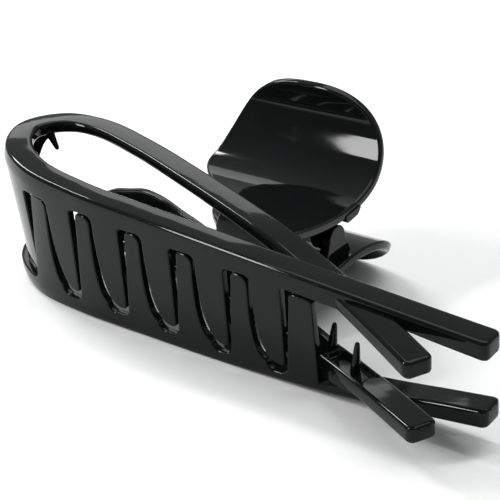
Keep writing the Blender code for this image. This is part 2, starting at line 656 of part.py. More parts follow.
def jaw(name, upper, parts, material):
    """One jaw: everything it is moulded with, joined, then its hollows cut."""
    joined = make_collection(name + "_joined", True)
    cutters = make_collection(name + "_cutters", True)
    rail_cutters = make_collection(name + "_rail_cutters", True)
    wall_cutters = make_collection(name + "_wall_cutters", True)
    base = rail(name, upper, parts)
    side_word = "upper" if upper else "lower"
    shapes = []
    if upper:
        marks = stations(-UPPER_WALL_END, UPPER_EDGE[-1][0], WALL_STATION, WALL_TURN)
        skirt = wall("upper_wall", marks, UPPER_EDGE, 0.0, True, joined)
        for k in range(1, len(TOOTH_X)):
            upper_slot(k, wall_cutters)
        upper_open_end(wall_cutters)
        shapes.append(pad("upper_pad", PAD_PROFILE, PAD_HALF_RIGHT, PAD_HALF_LENGTH, joined))
    else:
        marks = stations(-LOWER_WALL_END - 1.0, LOWER_EDGE[-1][0], WALL_STATION, WALL_TURN)
        turned_edge = [(mark, -z) for mark, z in LOWER_EDGE]
        skirt = turn_over(wall("lower_wall", marks, turned_edge, 0.0, False, joined))
        for k in range(len(TOOTH_X)):
            lower_pocket(k, wall_cutters)
        lower_wall_end(wall_cutters)
        shapes.append(pad("lower_pad", LOWER_PAD_PROFILE, LOWER_PAD_HALF_RIGHT, LOWER_PAD_HALF_LENGTH,
                          joined))
    boolean(skirt, "DIFFERENCE", wall_cutters)
    for side in (-1, 1):
        inner = UPPER_LUG_INNER if upper else LOWER_LUG_INNER
        shapes.append(lug(f"{side_word}_lug_{side + 2}", inner, side, joined))
    if upper:
        bridge_marks = np.linspace(BRIDGE_EDGE[0][0], BRIDGE_EDGE[-1][0], BRIDGE_STATIONS)
        shapes.append(wall("upper_bridge", bridge_marks, BRIDGE_EDGE, BRIDGE_SLANT, True, joined))
        shapes.append(ear("upper_ear", joined))
    shapes.append(web(side_word + "_web", upper, joined))
    shapes.append(hollow(side_word + "_hollow", upper, rail_cutters))
    if not upper:
        for shape in shapes + [base]:
            turn_over(shape)
        for k, ends in enumerate(LOWER_SPIKES):
            spike(f"lower_spike_{k + 1}", ends, joined)
    else:
        spike("head_spike", HEAD_SPIKE, joined)
    rod(side_word + "_pin_hole", PIN_RADIUS + PIN_CLEARANCE, HINGE_CENTRE_X - HOLE_REACH,
        HINGE_CENTRE_X + HOLE_REACH, cutters)
    for collection in (joined, cutters, rail_cutters, wall_cutters):
        for item in collection.objects:
            item.hide_render = True
            item.display_type = "WIRE"
    boolean(base, "DIFFERENCE", rail_cutters)
    boolean(base, "UNION", joined)
    boolean(base, "DIFFERENCE", cutters)
    base.data.transform(Matrix.Translation((0, -HINGE_Y * MM, -HINGE_Z * MM)))
    base.location = (0, HINGE_Y * MM, HINGE_Z * MM)
    base.data.materials.clear()
    base.data.materials.append(material)
    return base


def lay_down(name, collection):
    """Turns the whole clip, with its cutters, to the way that it lies on a table."""
    frame = bpy.data.objects.new(name, None)
    for item in list(bpy.data.objects):
        if item != frame:
            item.parent = frame
    collection.objects.link(frame)
    frame.empty_display_size = 0.02
    turn = Matrix.Rotation(REST_TURN_Y, 4, "Y") @ Matrix.Rotation(REST_TURN_X, 4, "X")
    frame.matrix_world = Matrix.Translation(Vector(REST_SHIFT) * MM) @ turn
    return frame


def main():
    clear_scene()
    clip = make_collection("hair_clip", False)
    plastic = make_material("black_plastic", PLASTIC_COLOUR, 0.22, 0.0)
    plastic_lower = make_material("black_plastic_lower", PLASTIC_COLOUR, 0.22, 0.0)
    steel = make_material("pin_steel", STEEL_COLOUR, 0.3, 1.0)
    upper = jaw("upper_jaw", True, clip, plastic)
    lower = jaw("lower_jaw", False, clip, plastic_lower)
    pin = rod("hinge_pin", PIN_RADIUS, HINGE_CENTRE_X - PIN_REACH, HINGE_CENTRE_X + PIN_REACH, clip)
    pin.data.materials.append(steel)
    lay_down("rest_pose", clip)


main()
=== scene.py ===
# %% [markdown]
# A black plastic hair clip, closed and lying on a pale table. Two long jaws of glossy moulded plastic
# interlock their teeth along the front, and a hinge between two round thumb pads lets them open.
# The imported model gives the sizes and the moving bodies. This lesson dresses it with finer surfaces
# and a plastic that has the small faults of a real moulding.

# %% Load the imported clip
import math

import bpy
import numpy as np
from mathutils import Matrix, Vector
from mathutils.geometry import delaunay_2d_cdt


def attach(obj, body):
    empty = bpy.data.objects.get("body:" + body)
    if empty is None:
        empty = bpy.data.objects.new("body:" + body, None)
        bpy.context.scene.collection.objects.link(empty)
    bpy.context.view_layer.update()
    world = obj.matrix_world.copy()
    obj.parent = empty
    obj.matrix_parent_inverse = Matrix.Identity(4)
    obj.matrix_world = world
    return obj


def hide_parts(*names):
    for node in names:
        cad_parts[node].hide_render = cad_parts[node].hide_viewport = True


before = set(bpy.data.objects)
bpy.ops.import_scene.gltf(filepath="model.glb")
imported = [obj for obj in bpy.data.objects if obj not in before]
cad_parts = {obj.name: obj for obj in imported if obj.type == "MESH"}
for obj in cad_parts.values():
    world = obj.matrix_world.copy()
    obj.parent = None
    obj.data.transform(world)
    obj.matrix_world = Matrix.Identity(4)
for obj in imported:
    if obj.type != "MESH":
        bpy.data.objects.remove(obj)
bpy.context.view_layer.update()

# %% [markdown]
# The clip is easiest to draw in its own frame, in millimetres: X along the front bar from the head to
# the tails, Y back to the pads, Z up from the plane between the jaws. On the table it leans a little,
# on its lower bar and lower pad. One turn and one shift take every point from that frame to the table,
# so that the drawing stays simple and each finished mesh still sits at the world's origin.

# %% From the clip's own frame to the table
MM = 0.001
LEAN_ABOUT_X = math.radians(5.769)
LEAN_ABOUT_Y = math.radians(0.458)
LIFT = np.array([-54.375, -3.178, 14.549])
LEAN = np.array(Matrix.Rotation(LEAN_ABOUT_Y, 3, "Y") @ Matrix.Rotation(LEAN_ABOUT_X, 3, "X"))


def on_table(points):
    """World points in metres: each clip point turned about X, then about Y, then shifted."""
    return (np.asarray(points, float).reshape(-1, 3) @ LEAN.T + LIFT) * MM


print("the hinge's middle is at", np.round(on_table([51.5, 11.5, 0.0])[0], 4))

# %% [markdown]
# The camera comes early. The picture was taken from about 26 cm with a long lens, from the front right
# and a little above. A focal length in pixels becomes a lens in millimetres when it is divided by the
# picture's width and multiplied by the sensor's.

# %% Camera
PICTURE = 500
FOCAL_PIXELS = 1418.5
camera_data = bpy.data.cameras.new("photo_camera")
camera_data.sensor_width = 36.0
camera_data.lens = FOCAL_PIXELS / PICTURE * camera_data.sensor_width
camera_data.clip_start = 0.01
camera = bpy.data.objects.new("photo_camera", camera_data)
camera.location = (0.144673, -0.194243, 0.116129)
camera.rotation_euler = [math.radians(angle) for angle in (67.013, 0.980, 37.003)]
bpy.context.scene.collection.objects.link(camera)
bpy.context.scene.camera = camera
print("lens", round(camera_data.lens, 1), "mm")

# %% [markdown]
# The materials and the room's light are small graphs of nodes. A few helpers keep them short: a node
# with its inputs set, a sum, noise that stays with the object, and a blend of two colours.

# %% Node helpers
def fill(node, **inputs):
    """The node with its named inputs set; an underscore stands for a space."""
    for name, value in inputs.items():
        node.inputs[name.replace("_", " ")].default_value = value
    return node


def math_node(tree, operation, *values):
    """A Math node; each of the values is a number or an output socket."""
    node = tree.nodes.new("ShaderNodeMath")
    node.operation = operation
    for socket, value in zip(node.inputs, values):
        if isinstance(value, (int, float)):
            socket.default_value = value
        else:
            tree.links.new(value, socket)
    return node.outputs["Value"]


def object_noise(tree, scale, detail, stretch=(1.0, 1.0, 1.0), turn=(0.0, 0.0, 0.0)):
    """Noise over Object coordinates; stretch squeezes it along the axes."""
    place = tree.nodes.new("ShaderNodeTexCoord")
    mapping = fill(tree.nodes.new("ShaderNodeMapping"), Scale=stretch, Rotation=turn)
    noise = fill(tree.nodes.new("ShaderNodeTexNoise"), Scale=scale, Detail=detail)
    tree.links.new(place.outputs["Object"], mapping.inputs["Vector"])
    tree.links.new(mapping.outputs["Vector"], noise.inputs["Vector"])
    return noise.outputs["Fac"]


def blend(tree, low, high, share):
    """Colour that goes from low to high as the share socket goes from 0 to 1."""
    mix = tree.nodes.new("ShaderNodeMix")
    mix.data_type = "RGBA"
    mix.inputs["A"].default_value = (*low, 1.0)
    mix.inputs["B"].default_value = (*high, 1.0)
    tree.links.new(share, mix.inputs["Factor"])
    return mix.outputs["Result"]


def new_material(name, **inputs):
    """A material, its node tree and its shader, with the shader's named inputs set."""
    material = bpy.data.materials.new(name)
    material.use_nodes = True
    return material, material.node_tree, fill(material.node_tree.nodes["Principled BSDF"], **inputs)


print("node helpers ready")

# %% [markdown]
# Black plastic is drawn almost wholly by what it reflects, so the room matters more than the colour.
# The floor is a wide white sheet. The room itself is dim, so that the plastic stays black, and a little
# brighter behind the clip than towards the viewer. The bright shapes in the reflections are soft lights.

# %% Table top and room
TABLE_REACH = 3.0
table_corners = [(x * TABLE_REACH, y * TABLE_REACH, 0.0) for x, y in ((-1, -1), (1, -1), (1, 1), (-1, 1))]
floor_mesh = bpy.data.meshes.new("table_top")
floor_mesh.from_pydata(table_corners, [], [(0, 1, 2, 3)])
table_top = bpy.data.objects.new("table_top", floor_mesh)
bpy.context.scene.collection.objects.link(table_top)
paper, paper_tree, paper_shader = new_material("white_paper", Roughness=0.9, Specular_IOR_Level=0.2)
paper_tint = blend(paper_tree, (0.93, 0.93, 0.93), (0.96, 0.96, 0.96), object_noise(paper_tree, 900.0, 3.0))
paper_tree.links.new(paper_tint, paper_shader.inputs["Base Color"])
floor_mesh.materials.append(paper)

room = bpy.data.worlds.new("studio")
bpy.context.scene.world = room
room.use_nodes = True
sky = room.node_tree
toward = sky.nodes.new("ShaderNodeTexCoord")
split = sky.nodes.new("ShaderNodeSeparateXYZ")
sky.links.new(toward.outputs["Generated"], split.inputs["Vector"])
depth_ramp = sky.nodes.new("ShaderNodeValToRGB")
front_stop, back_stop = depth_ramp.color_ramp.elements
front_stop.position, front_stop.color = 0.15, (0.20, 0.205, 0.20, 1.0)
back_stop.position, back_stop.color = 0.75, (0.42, 0.435, 0.43, 1.0)
backwards = math_node(sky, "MULTIPLY_ADD", split.outputs["Y"], 0.5, 0.5)
sky.links.new(backwards, depth_ramp.inputs["Fac"])
sky.links.new(depth_ramp.outputs["Color"], sky.nodes["Background"].inputs["Color"])
bpy.context.scene.view_settings.view_transform = "Standard"
print("table top", 2 * TABLE_REACH, "m wide")

# %% [markdown]
# Four soft lights draw the plastic. A wide one overhead lights the table. A small panel behind the clip
# makes the far rail shine while the front bar stays dark. A tall box at the front left is the bright
# patch on the pad's right side and the line on the front bar's bevel, and a strip further left draws
# the fine line along the far rail's inner edge.

# %% Soft lights
def soft_light(name, place, target, width, height, watts, along=(1.0, 0.0, 0.0)):
    """A rectangular lamp at place, facing target; its width runs as near as it can to along."""
    lamp = bpy.data.lights.new(name, "AREA")
    lamp.shape = "RECTANGLE"
    lamp.size = width
    lamp.size_y = height
    lamp.energy = watts
    item = bpy.data.objects.new(name, lamp)
    back = (Vector(place) - Vector(target)).normalized()
    up = back.cross(Vector(along)).normalized()
    turn = Matrix((up.cross(back), up, back)).transposed()
    item.matrix_world = Matrix.LocRotScale(Vector(place), turn, None)
    bpy.context.scene.collection.objects.link(item)


soft_light("ceiling_box", (0.0, 0.25, 0.9), (0.0, 0.0, 0.0), 0.9, 0.6, 3.6)
soft_light("back_panel", (-0.178, 0.142, 0.15), (-0.178, 0.142, 0.0), 0.16, 0.06, 0.06)
soft_light("front_left_box", (-0.218, -0.295, 0.296), (-0.218, 0.0, 0.055), 0.067, 0.25, 1.6)
soft_light("left_strip", (-0.452, 0.105, 0.408), (0.0, -0.01, 0.025), 0.25, 0.05, 1.6,
           (0.787, 0.342, 0.514))

# %% [markdown]
# A finished mesh is made from whole arrays: all vertices at once, and the faces as index lists. The
# same small function puts every piece into the scene, smooths it, gives it its plastic, and says which
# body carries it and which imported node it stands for.

# %% Putting a piece into the scene
def add_piece(name, points, faces, finish, node, body, slot):
    """One mesh object from clip points. It rides on a body and replaces a node. The slot is not used."""
    mesh = bpy.data.meshes.new(name)
    mesh.from_pydata(on_table(points), [], faces)
    mesh.validate()
    mesh.shade_smooth()
    mesh.materials.append(finish)
    item = bpy.data.objects.new(name, mesh)
    bpy.context.scene.collection.objects.link(item)
    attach(item, body)
    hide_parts(node)
    print(name, len(points), "points", sum(len(face) - 2 for face in faces), "triangles")


def mirrored(points, faces):
    """The piece mirrored in the plane between the jaws, with its faces turned round."""
    return np.asarray(points) * [1.0, 1.0, -1.0], [face[::-1] for face in faces]


def ring_quads(ids):
    """Quads between each ring of point numbers and the next."""
    nxt = np.roll(ids, -1, axis=1)
    return np.stack([ids[:-1], nxt[:-1], nxt[1:], ids[1:]], axis=-1).reshape(-1, 4).tolist()


def closed_tube(rings, poles):
    """Points and faces of a row of rings, closed by a fan to a pole at each end."""
    rows, count = rings.shape[:2]
    ids = np.arange(rows * count).reshape(rows, count)
    nxt = np.roll(ids, -1, axis=1)
    first, last = np.full(count, rows * count), np.full(count, rows * count + 1)
    faces = ring_quads(ids) + np.stack([first, nxt[0], ids[0]], axis=1).tolist()
    faces += np.stack([last, ids[-1], nxt[-1]], axis=1).tolist()
    return np.vstack([rings.reshape(-1, 3), poles]), faces


# %% [markdown]
# The plastic is a glossy black. Up close it isn't perfect: the steel mould leaves a very fine grain, the
# melt's flow leaves long shallow waves, and handling adds hairline scratches. Three node groups hold
# these effects, so each material can use them with its own strength. Heights go to Bump nodes, which
# bend the reflections without moving the surface.

# %% Node groups for moulded plastic
def new_group(name, inputs, outputs):
    """A shader node group with float inputs (name, value) and outputs (name, socket type)."""
    group = bpy.data.node_groups.new(name, "ShaderNodeTree")
    for socket, value in inputs:
        made = group.interface.new_socket(name=socket, in_out="INPUT", socket_type="NodeSocketFloat")
        made.default_value = value
    for socket, kind in outputs:
        group.interface.new_socket(name=socket, in_out="OUTPUT", socket_type=kind)
    return group, group.nodes.new("NodeGroupInput"), group.nodes.new("NodeGroupOutput")


def make_skin_group():
    """Moulded skin: fine grain on shallow flow waves, as two bumps that bend the normal."""
    group, start, end = new_group("moulded_skin", [("Waves", 0.3), ("Grain", 0.1)],
                                  [("Normal", "NodeSocketVector")])
    waves = object_noise(group, 90.0, 1.5, (1.0, 2.4, 1.6))
    grain = object_noise(group, 5200.0, 2.0)
    into = end.inputs["Normal"]
    for strength, height, distance in (("Grain", grain, 0.00002), ("Waves", waves, 0.0006)):
        bump = fill(group.nodes.new("ShaderNodeBump"), Distance=distance)
        group.links.new(height, bump.inputs["Height"])
        group.links.new(start.outputs[strength], bump.inputs["Strength"])
        group.links.new(bump.outputs["Normal"], into)
        into = bump.inputs["Normal"]
    return group


LINE_HALF_WIDTH = 0.0035
MARKED_ABOVE = 0.52


def make_marks_group():
    """Handling marks: thin rough lines where one of two stretched noises passes its middle value."""
    group, start, end = new_group("handling_marks", [("Amount", 0.5)], [("Scratches", "NodeSocketFloat")])
    lines = []
    for turn in ((0.2, 0.1, 0.5), (0.1, 0.5, -0.7)):
        fibre = object_noise(group, 60.0, 3.0, (1.0, 26.0, 26.0), turn)
        away = math_node(group, "ABSOLUTE", math_node(group, "SUBTRACT", fibre, 0.5))
        lines.append(math_node(group, "LESS_THAN", away, LINE_HALF_WIDTH))
    where = math_node(group, "GREATER_THAN", object_noise(group, 140.0, 2.0), MARKED_ABOVE)
    both = math_node(group, "MAXIMUM", lines[0], lines[1])
    marks = math_node(group, "MULTIPLY", both, where)
    group.links.new(math_node(group, "MULTIPLY", marks, start.outputs["Amount"]), end.inputs["Scratches"])
    return group


def make_tone_group():
    """Uneven gloss: cloudy patches that raise or lower the roughness between two values."""
    group, start, end = new_group("uneven_gloss", [("Low", 0.1), ("High", 0.2)],
                                  [("Gloss", "NodeSocketFloat"), ("Cloud", "NodeSocketFloat")])
    cloud = object_noise(group, 70.0, 4.0)
    spread = math_node(group, "SUBTRACT", start.outputs["High"], start.outputs["Low"])
    value = math_node(group, "ADD", start.outputs["Low"], math_node(group, "MULTIPLY", spread, cloud))
    group.links.new(value, end.inputs["Gloss"])
    group.links.new(cloud, end.inputs["Cloud"])
    return group


skin_group = make_skin_group()
marks_group = make_marks_group()
tone_group = make_tone_group()
print("node groups:", skin_group.name, marks_group.name, tone_group.name)

# %% [markdown]
# Three blacks share one recipe. The bars and pads shine most, and the walls are a little duller and
# grainier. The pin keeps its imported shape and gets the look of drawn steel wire.

# %% Plastics and steel
PLASTIC_IOR = 1.27
WAVES, SCRATCHES = 0.05, 0.10


def group_at(tree, group, **inputs):
    """A new node that holds a node group, with its named inputs set."""
    node = tree.nodes.new("ShaderNodeGroup")
    node.node_tree = group
    return fill(node, **inputs)


def black_plastic(name, low, high, grain):
    """Black plastic whose roughness runs from low to high, with the groups above. Its index is below a
    real plastic's, because the photographed clip mirrors the white table only weakly."""
    finish, tree, shader = new_material(name, IOR=PLASTIC_IOR)
    tones = group_at(tree, tone_group, Low=low, High=high)
    skin = group_at(tree, skin_group, Waves=WAVES, Grain=grain)
    marks = group_at(tree, marks_group, Amount=SCRATCHES)
    colour = blend(tree, (0.0030, 0.0042, 0.0040), (0.0052, 0.0070, 0.0066), tones.outputs["Cloud"])
    tree.links.new(colour, shader.inputs["Base Color"])
    rough = math_node(tree, "ADD", tones.outputs["Gloss"], marks.outputs["Scratches"])
    tree.links.new(rough, shader.inputs["Roughness"])
    tree.links.new(skin.outputs["Normal"], shader.inputs["Normal"])
    return finish


bar_plastic = black_plastic("bar_plastic", 0.03, 0.06, 0.03)
wall_plastic = black_plastic("wall_plastic", 0.06, 0.11, 0.08)
pad_plastic = black_plastic("pad_plastic", 0.03, 0.07, 0.03)

pin_steel, steel_tree, steel_shader = new_material("pin_steel_wire", Base_Color=(0.52, 0.52, 0.53, 1.0),
                                                   Metallic=1.0)
drawn_lines = object_noise(steel_tree, 300.0, 3.0, (0.08, 6.0, 6.0))
steel_tree.links.new(math_node(steel_tree, "MULTIPLY", drawn_lines, 0.5), steel_shader.inputs["Roughness"])
pin_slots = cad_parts["hinge_pin"].data.materials
pin_slots.clear()
pin_slots.append(pin_steel)
print("plastics:", bar_plastic.name, wall_plastic.name, pad_plastic.name)

# %% [markdown]
# Each jaw carries a ring like a long drop of water. It starts at the long tail, runs along the straight
# front bar, turns round the head, comes back along the far rail and crosses under itself to the short
# tail. A smooth curve through a few measured points gives the centre line. Lengths along it are counted
# from the head, negative along the front bar and positive along the far rail.

# %% The ring's centre line
RING_KNOTS = np.array([
    (111.7, -15.9), (100.0, -16.0), (80.0, -16.0), (60.0, -16.0), (42.0, -15.9), (26.0, -15.6),
    (12.6, -13.3), (3.2, -7.5), (0.0, -0.8), (3.5, 5.2), (11.5, 7.1), (24.0, 5.0), (40.7, 0.2),
    (60.3, -6.2), (78.4, -12.9), (90.0, -18.4), (105.5, -26.6)])
RAIL_WIDTH = 5.2
TANGENT_REACH = 0.25


def smooth_through(knots, per_span=60):
    """Centripetal Catmull-Rom: each span blends the lines through its four nearest knots."""
    ends = np.vstack([2 * knots[0] - knots[1], knots, 2 * knots[-1] - knots[-2]])
    spans = []
    for first in range(len(ends) - 3):
        p = ends[first:first + 4]
        t = np.concatenate([[0.0], np.cumsum(np.sqrt(np.linalg.norm(np.diff(p, axis=0), axis=1)))])
        s = np.linspace(t[1], t[2], per_span, endpoint=False)[:, None]
        a = [(t[i + 1] - s) / (t[i + 1] - t[i]) * p[i] + (s - t[i]) / (t[i + 1] - t[i]) * p[i + 1]
             for i in range(3)]
        b = [(t[i + 2] - s) / (t[i + 2] - t[i]) * a[i] + (s - t[i]) / (t[i + 2] - t[i]) * a[i + 1]
             for i in range(2)]
        spans.append((t[2] - s) / (t[2] - t[1]) * b[0] + (s - t[1]) / (t[2] - t[1]) * b[1])
    return np.vstack(spans + [knots[-1:]])


ring = smooth_through(RING_KNOTS)
head_index = int(np.argmin(ring[:, 0]))
ring_length = np.concatenate([[0.0], np.cumsum(np.linalg.norm(np.diff(ring, axis=0), axis=1))])
ring_length -= ring_length[head_index]


def ring_at(length):
    """Centre line point at a length from the head."""
    return np.stack([np.interp(length, ring_length, ring[:, axis]) for axis in range(2)], axis=-1)


def ring_normal(length):
    """Unit normal there, out of the loop: the direction of travel turned by a right angle."""
    along = ring_at(np.asarray(length) + TANGENT_REACH) - ring_at(np.asarray(length) - TANGENT_REACH)
    along = along / np.linalg.norm(along, axis=-1, keepdims=True)
    return np.stack([-along[..., 1], along[..., 0]], axis=-1)


def front_length(x):
    """Length from the head to a given X on the front bar, so a negative number."""
    return np.interp(x, ring[:head_index + 1, 0][::-1], ring_length[:head_index + 1][::-1])


def far_length(x):
    """Length from the head to a given X on the far rail."""
    return np.interp(x, ring[head_index:, 0], ring_length[head_index:])


def mark_length(mark):
    """Length along the ring of a mark: minus X on the front bar, or X on the far rail."""
    return float(front_length(-mark) if mark < 0 else far_length(mark))


print("ring", round(float(ring_length[-1] - ring_length[0]), 1), "mm from tail to tail")

# %% [markdown]
# The two rings lie on the same line from above, but their heights differ. The upper one falls evenly to
# the tails, and its far rail dips a little to pass under the front bar. The lower one bulges along the
# front bar, which is what the clip stands on. Short tables along the ring, made smooth, hold the heights
# and the thickness, which is less along a few stretches and more towards the ends of the tails.

# %% Heights and thickness of the two rings
HEAD_TOP = 15.3
TAPER = 0.0677
SHORT_TAIL_DROP = 1.1
DROP_START, DROP_LENGTH = 62.0, 22.0
LOWER_FRONT = np.array([
    (-3.0, 13.16), (0.0, 13.15), (12.0, 13.0), (20.0, 12.7), (30.0, 12.45), (42.0, 12.45), (59.4, 12.3),
    (70.0, 11.9), (77.5, 11.5), (84.8, 10.95), (92.0, 10.15), (100.0, 9.2), (112.5, 7.7)])
LOWER_HEAD = 13.15
LOWER_TAPER = 0.0573
UPPER_THICK = [(-111.7, 3.4), (-103.0, 3.2), (-95.0, 2.9), (-87.0, 2.65), (-78.0, 2.5), (3.0, 2.5),
               (9.0, 2.1), (44.0, 2.1), (60.0, 2.5), (84.0, 2.5), (94.0, 2.75), (105.5, 3.0)]
LOWER_THICK = [(-111.7, 3.4), (-103.0, 3.2), (-95.0, 2.9), (-85.5, 2.6), (-79.0, 1.7), (-75.5, 1.5),
               (-66.0, 1.6), (-60.0, 2.1), (-52.0, 2.5), (84.0, 2.5), (94.0, 2.75), (105.5, 3.0)]
HEAD_END, HEAD_FADE = 26.0, 10.0
SWELL_DEPTH = 2.5
UPPER_SWELL, UPPER_DRAFT = 0.6, 0.09
LOWER_SWELL, LOWER_DRAFT = 0.4, 0.055
lower_bulge = smooth_through(LOWER_FRONT)
thick_lines = [smooth_through(np.array([(mark_length(mark), thick) for mark, thick in table]))
               for table in (UPPER_THICK, LOWER_THICK)]


def smoothstep(share):
    """Zero, then 3 s^2 - 2 s^3, then one."""
    share = np.clip(share, 0.0, 1.0)
    return share * share * (3 - 2 * share)


def ring_top(x):
    """Height of the upper ring's outer face on the front bar: it falls evenly from head to tails."""
    return HEAD_TOP - TAPER * np.asarray(x, float)


def outer_face(length, upper):
    """Height of the upper ring's outer face, or depth of the lower one's, at lengths along the ring."""
    x = ring_at(length)[..., 0]
    if upper:
        drop = SHORT_TAIL_DROP * smoothstep((x - DROP_START) / DROP_LENGTH)
        return ring_top(x) - drop * (np.asarray(length) > 0)
    front = np.interp(x, lower_bulge[:, 0], lower_bulge[:, 1])
    return np.where(np.asarray(length) < 0, front, LOWER_HEAD - LOWER_TAPER * x)


def thickness(length, upper):
    """Thickness of a ring at lengths along it."""
    line = thick_lines[0 if upper else 1]
    return np.interp(length, line[:, 0], line[:, 1])


def head_swell(length, depth, upper):
    """How far the side swells out at a depth below the outer face. Round the head only, it swells down
    to the swell depth and then leans in evenly."""
    x = ring_at(length)[..., 0]
    near = np.clip(1.0 - x / HEAD_END, 0.0, 1.0) * (1.0 - smoothstep(np.asarray(length) / HEAD_FADE))
    swell, draft = (UPPER_SWELL, UPPER_DRAFT) if upper else (LOWER_SWELL, LOWER_DRAFT)
    beyond = np.clip(depth - SWELL_DEPTH, 0.0, None)
    return near * (swell * smoothstep(depth / SWELL_DEPTH) - draft * beyond)


print("lower ring's depth under the middle of the bar:", float(outer_face(mark_length(-50.0), False)))

# %% [markdown]
# The rail could be a curve object with a bevel, but such a curve can only scale its whole section, and
# can't be pressed in. Here a rounded section is carried along the centre line as one grid of points,
# stations by section points. The section is narrower where the blunt ends are rounded off, and on the
# inner face of the far rail, just before the short tail, it is pressed in to make a shallow trough.

# %% Rails with a trough before the short tail
def rail_section(half_width, half_thick, corner, crown, trough_half, press):
    """Section points (across, up) per station. The outer face has a slight crown, the corners are
    quarter circles, and the inner face is pressed in by press(place) millimetres."""
    turn = np.radians(np.linspace(0.0, 90.0, 6))
    zeros = np.zeros_like(half_width)
    across, up = [], []
    for side_x, side_z, first in ((1, 1, 0), (-1, 1, 90), (-1, -1, 180), (1, -1, 270)):
        if (side_x, side_z) == (-1, 1):
            for share in (0.92, 0.5, 0.0, -0.5, -0.92):
                across.append(share * (half_width - corner))
                up.append(half_thick + crown * (1 - share * share))
        if (side_x, side_z) == (1, -1):
            for place in (-1.08, -1.0, -0.94, -0.85, -0.6, -0.3, 0.0, 0.3, 0.6, 0.85, 0.94, 1.0, 1.08):
                across.append(np.minimum(abs(place) * trough_half, half_width - corner) * np.sign(place))
                up.append(-half_thick + press(place))
        for angle in turn + math.radians(first):
            across.append(side_x * (half_width - corner) + corner * math.cos(angle) + zeros)
            up.append(side_z * (half_thick - corner) + corner * math.sin(angle) + zeros)
    return np.stack(across, axis=1), np.stack(up, axis=1)


def tail_rounding(gap, radius):
    """How far a blunt end draws in, a gap before the end: radius minus a quarter circle's height."""
    inside = np.clip(radius - gap, 0.0, radius)
    return radius - np.sqrt(radius * radius - inside * inside)


TROUGH = np.array([mark_length(80.0), mark_length(90.2)])
TROUGH_HALF = 2.0
TROUGH_DEPTH = 1.0
TROUGH_WALL = 0.25
TROUGH_END_HALF = 0.4
RIM_SHARE = 0.06
TAIL_CORNER = 1.1
RAIL_CORNER, END_CORNER, END_REACH = 0.7, 0.55, 0.3
CROWN = 0.04
END_ROUND_ACROSS, END_ROUND_UP = 1.3, 0.6
UPPER_SHORT_END, LOWER_SHORT_END = 104.8, 105.5
CLOSEST_STATIONS = 0.012


def rail_grid(end):
    """Lengths of the stations: close together at the blunt ends and at the trough's ends."""
    start = ring_length[0]
    ends = np.array([0.0, 0.02, 0.06, 0.12, 0.2, 0.3, 0.42, 0.56, 0.72, 0.9, 1.1, 1.35])
    near = (TROUGH[:, None] + np.arange(-0.8, 2.0, 0.1)).ravel()
    stations = np.concatenate([start + ends, np.arange(start + 1.5, end - 1.5, 0.6), near, end - ends])
    stations = np.sort(stations[(stations >= start) & (stations <= end)])
    return stations[np.concatenate([[True], np.diff(stations) > CLOSEST_STATIONS])]


def make_rail(name, upper, end, finish, node, body, slot):
    """The whole ring of one jaw, swept as a grid and closed by a fan at each end."""
    stations = rail_grid(end)
    centre = ring_at(stations)
    normal = ring_normal(stations)
    gap = np.minimum(stations - stations[0], stations[-1] - stations)
    half_width = RAIL_WIDTH / 2 - tail_rounding(gap, END_ROUND_ACROSS)
    half_thick = thickness(stations, upper) / 2 - tail_rounding(gap, END_ROUND_UP)
    corner = np.where(gap < END_REACH, END_CORNER, RAIL_CORNER)
    gone = (stations - TROUGH[0]) / TROUGH_HALF
    trough_half = TROUGH_HALF * np.where(gone > 0, np.sqrt(1 - (1 - np.clip(gone, 0.0, 1.0)) ** 2), 1.0)
    trough_half = np.maximum(trough_half, TROUGH_END_HALF)

    def press(place):
        """Depth of the trough: full inside, with steep walls and rounded corners at the tail's face."""
        last = TROUGH[1] + TAIL_CORNER * np.abs(place) ** 4
        inside = np.clip(np.minimum(stations - TROUGH[0], last - stations) / TROUGH_WALL, 0.0, 1.0)
        return TROUGH_DEPTH * inside * float(np.clip((1.0 - abs(place)) / RIM_SHARE, 0.0, 1.0))

    across, up = rail_section(half_width, half_thick, corner, CROWN, trough_half, press)
    depth = half_thick[:, None] - up
    outward = np.clip(across / half_width[:, None], 0.0, 1.0)
    across = across + outward * np.stack([head_swell(stations, d, upper) for d in depth.T], axis=1)
    x = centre[:, :1] + normal[:, :1] * across
    y = centre[:, 1:] + normal[:, 1:] * across
    middle = outer_face(stations, upper) - thickness(stations, upper) / 2
    rings = np.stack([x, y, middle[:, None] + up], axis=-1)
    points, faces = closed_tube(rings, rings[[0, -1]].mean(axis=1))
    if not upper:
        points, faces = mirrored(points, faces)
    add_piece(name, points, faces, finish, node, body, slot)


UPPER = ("upper_jaw", "upper_body", "upper_plastic")
LOWER = ("lower_jaw", "lower_body", "lower_plastic")
make_rail("upper_rail", True, mark_length(UPPER_SHORT_END), bar_plastic, *UPPER)
make_rail("lower_rail", False, mark_length(LOWER_SHORT_END), bar_plastic, *LOWER)

# %% [markdown]
# Walls, pads, arms, webs and the tab are all the same kind of thing: a plate with softly rounded edges.
# One builder serves them all. It takes a flat closed outline, draws it in along a quarter circle to round
# both edges, fills the two faces with an even mesh, and at the end bends everything with a mapping from
# (along, across, height above the middle) to the clip.

# %% Plate builder
FACE_BORDER = 0.12


